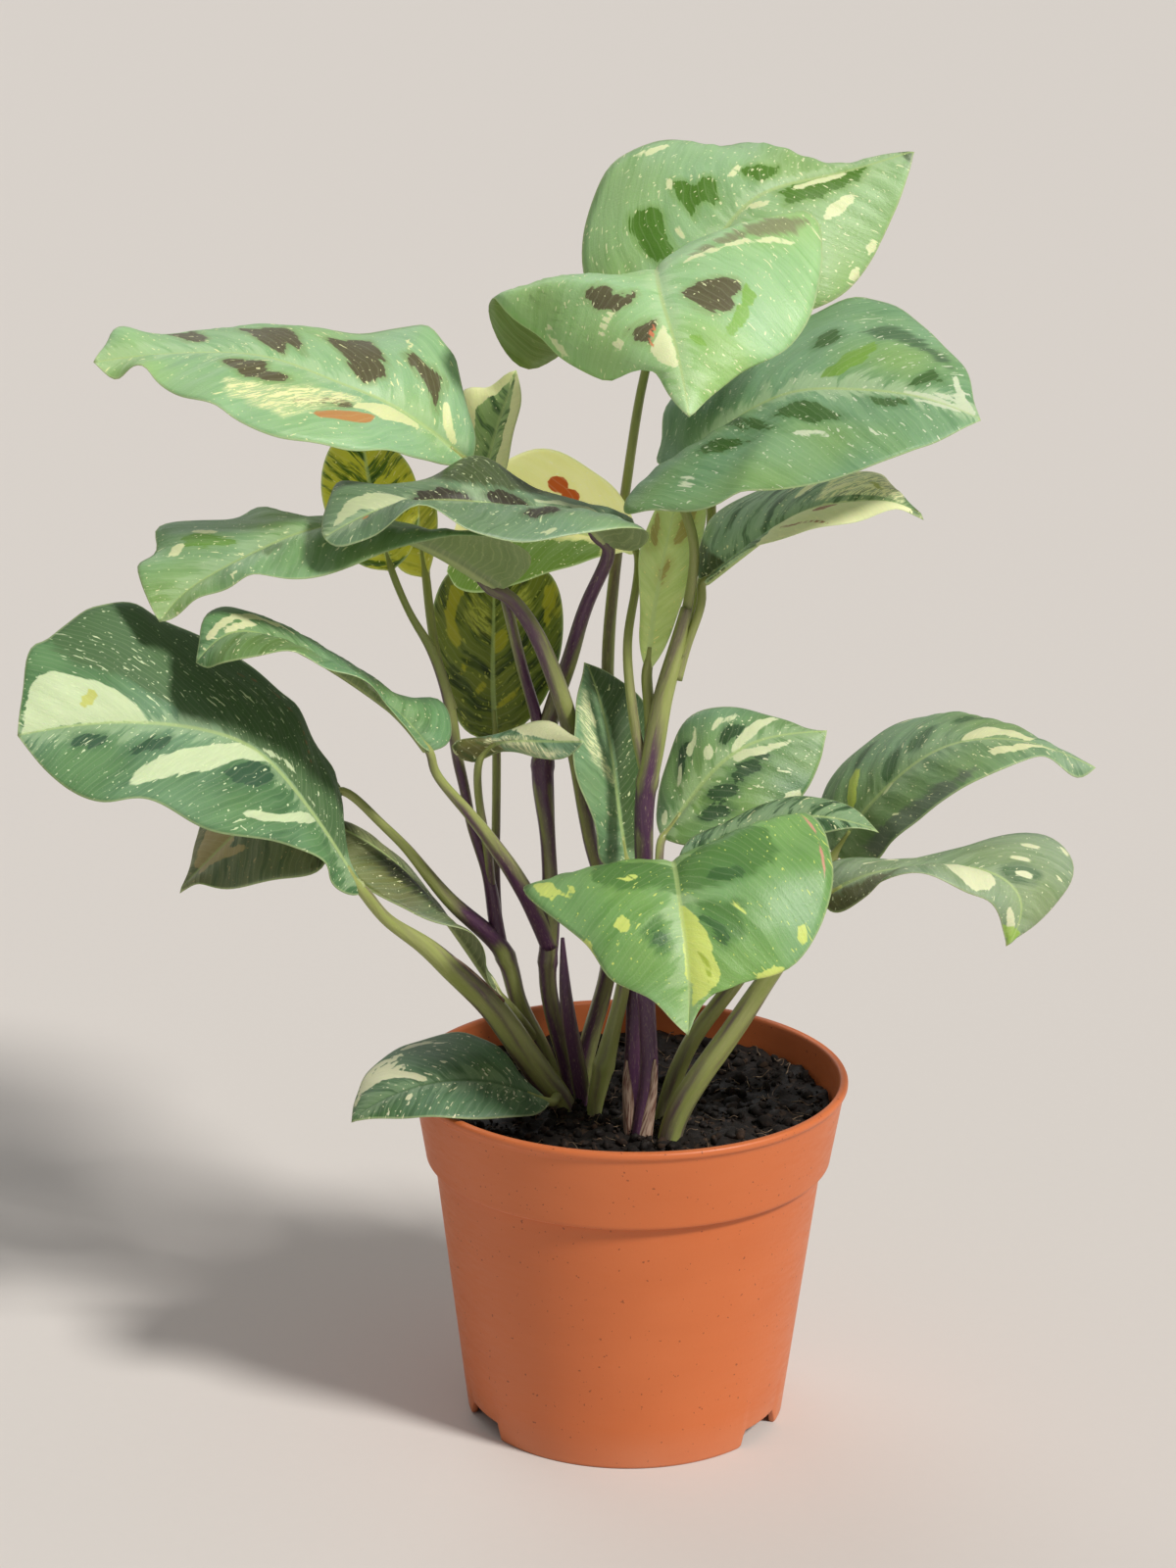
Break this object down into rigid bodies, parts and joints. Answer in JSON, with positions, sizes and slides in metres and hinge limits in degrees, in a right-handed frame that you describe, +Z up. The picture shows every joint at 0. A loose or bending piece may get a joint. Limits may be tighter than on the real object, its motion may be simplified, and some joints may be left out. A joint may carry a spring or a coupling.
{
  "type": "potted prayer plant",
  "caption": "Variegated prayer plant with broad blotched oval leaves on slender purple and green stems, standing in dark soil in a round terracotta-coloured plastic pot.",
  "frame": {"origin": "on the pot's axis, in the middle of the underside of its floor, which stands level with the foot ring", "axes": "+Z up along the pot's axis, -Y towards the front that the picture shows, +X to the right in it"},
  "size_m": [0.2752, 0.1274, 0.3445],
  "materials": {
    "pot_plastic": "satin moulded plastic",
    "potting_soil": null,
    "leaf_silver_green": null,
    "leaf_deep_green": null,
    "leaf_yellow_green": null,
    "stem_purple": null,
    "stem_green": null
  },
  "bodies": {
    "root": {"leaf_backlit": "leaf_yellow_green", "leaf_behind_left": "leaf_yellow_green", "leaf_centre": "leaf_deep_green", "leaf_centre_right": "leaf_silver_green", "leaf_crown_back": "leaf_silver_green", "leaf_crown_front": "leaf_silver_green", "leaf_front": "leaf_silver_green", "leaf_left_behind": "leaf_deep_green", "leaf_left_big": "leaf_silver_green", "leaf_left_low": "leaf_deep_green", "leaf_left_middle": "leaf_silver_green", "leaf_left_narrow": "leaf_deep_green", "leaf_left_upper": "leaf_silver_green", "leaf_middle_left": "leaf_silver_green", "leaf_new": "leaf_yellow_green", "leaf_on_rim": "leaf_deep_green", "leaf_right_high": "leaf_deep_green", "leaf_right_low": "leaf_deep_green", "leaf_right_under": "leaf_deep_green", "leaf_right_upper": "leaf_silver_green", "leaf_small_front": "leaf_deep_green", "leaf_streaked": "leaf_silver_green", "leaf_yellow": "leaf_yellow_green", "leaf_yellow_green": "leaf_yellow_green", "leaf_yellow_inner": "leaf_yellow_green", "pot": "pot_plastic", "shoot_centre": "stem_purple", "shoot_crown": "stem_purple", "shoot_inner": "stem_green", "shoot_left_high": "stem_purple", "shoot_left_low": "stem_green", "shoot_left_middle": "stem_purple", "shoot_right": "stem_purple", "shoot_right_high": "stem_green", "shoot_right_low": "stem_green", "shoot_sheath": "stem_purple", "soil": "potting_soil"}
  },
  "joints": []
}
